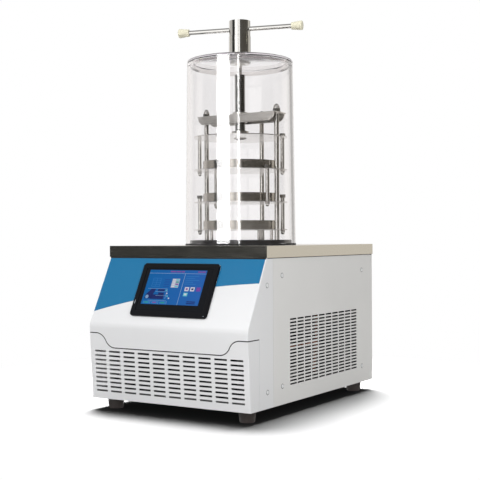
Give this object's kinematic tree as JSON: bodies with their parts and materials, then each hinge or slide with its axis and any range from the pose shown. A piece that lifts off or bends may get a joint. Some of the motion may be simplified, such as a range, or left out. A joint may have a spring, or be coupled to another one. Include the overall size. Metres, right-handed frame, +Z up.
{
  "type": "freeze dryer",
  "caption": "Bench-top freeze dryer: white cabinet with touch panel and vents, clear bell jar over a rack of shelves with trays, and a T-handle screw press.",
  "frame": {"origin": "on the floor under the middle of the whole object's box", "axes": "+Z up, the sloping front with the touch panel faces -Y, +X to the operator's right"},
  "size_m": [0.45, 0.6755, 0.9609],
  "materials": {
    "stainless": "brushed stainless sheet",
    "white_paint": "fine satin powder coat",
    "grey_sheet": "galvanised inner sheet",
    "black_rubber": "matt",
    "blue_film": "satin printed film",
    "black_bezel": "smooth",
    "display": null,
    "clear_jar": "clear, polished",
    "polished_steel": "turned and polished",
    "rack_steel": "satin stainless",
    "grip_plastic": "smooth, cream",
    "black_plastic": "fine grain",
    "copper_pipe": "drawn copper",
    "foam": "foam",
    "compressor_paint": "black enamel",
    "fins": "stacked fins"
  },
  "bodies": {
    "cabinet": {"lid_plate": "stainless", "front_cover": "white_paint", "grille_cover": "white_paint", "side_panel_right": "white_paint", "side_panel_left": "white_paint", "rear_panel": "white_paint", "base_pan": "grey_sheet", "rubber_feet": "black_rubber", "blue_band_film": "blue_film", "touch_bezel": "black_bezel", "touch_screen": "display", "vacuum_port": "polished_steel", "power_inlet": "black_plastic", "switch_housing": "black_plastic", "drain_valve": "polished_steel", "trap_well": "stainless", "trap_insulation": "foam", "compressor": "compressor_paint", "condenser": "fins", "fan_motor": "black_plastic", "discharge_line": "copper_pipe", "suction_line": "copper_pipe", "control_box": "grey_sheet", "jar_gasket": "black_rubber", "bell_jar": "clear_jar", "gland_housing": "polished_steel", "gland_nut": "polished_steel", "yoke": "rack_steel", "guide_column_left": "polished_steel", "guide_column_right": "polished_steel", "guide_column_rear": "polished_steel", "shelf_3": "rack_steel", "tray_3": "stainless", "hanger_rods_3": "polished_steel", "rod_nuts_fixed": "polished_steel", "shelf_legs": "rack_steel"},
    "handle": {"handle_hub": "polished_steel", "handle_bar": "polished_steel", "handle_grips": "grip_plastic", "drive_shaft": "polished_steel"},
    "press": {"press_foot": "rack_steel", "press_plate": "rack_steel", "shelf_1": "rack_steel", "shelf_2": "rack_steel", "tray_1": "stainless", "tray_2": "stainless", "hanger_rods_1": "polished_steel", "hanger_rods_2": "polished_steel", "rod_nuts_hung": "polished_steel"},
    "screw": {"press_screw": "polished_steel"},
    "fan": {"fan_blades": "black_plastic"},
    "drain_handle": {"drain_lever": "black_plastic"},
    "rocker": {"switch_rocker": "black_plastic"}
  },
  "joints": [
    {"name": "handle_turn", "type": "hinge", "parent": "cabinet", "child": "handle", "pos_m": [0, -0.0102, 0.9404], "axis": [0, 0, -1], "range_deg": [-720, 2520]},
    {"name": "press_slide", "type": "slide", "parent": "cabinet", "child": "press", "axis": [0, 0, -1], "range_m": [-0.01, 0.035]},
    {"name": "screw_turn", "type": "hinge", "parent": "press", "child": "screw", "pos_m": [0, -0.0102, 0.6803], "axis": [0, 0, -1], "range_deg": [-720, 2520]},
    {"name": "fan_spin", "type": "hinge", "parent": "cabinet", "child": "fan", "pos_m": [0, -0.256, 0.1], "axis": [0, 1, 0], "continuous": true},
    {"name": "drain_turn", "type": "hinge", "parent": "cabinet", "child": "drain_handle", "pos_m": [0.12, 0.3082, 0.073], "axis": [0, 0, 1], "range_deg": [0, 90]},
    {"name": "switch_tilt", "type": "hinge", "parent": "cabinet", "child": "rocker", "pos_m": [-0.085, 0.2977, 0.088], "axis": [1, 0, 0], "range_deg": [-8, 8]}
  ],
  "couplings": [
    {"joint": "press_slide", "follows": "handle_turn", "m_per_rad": 0.00079577},
    {"joint": "screw_turn", "follows": "handle_turn", "ratio": 1}
  ]
}
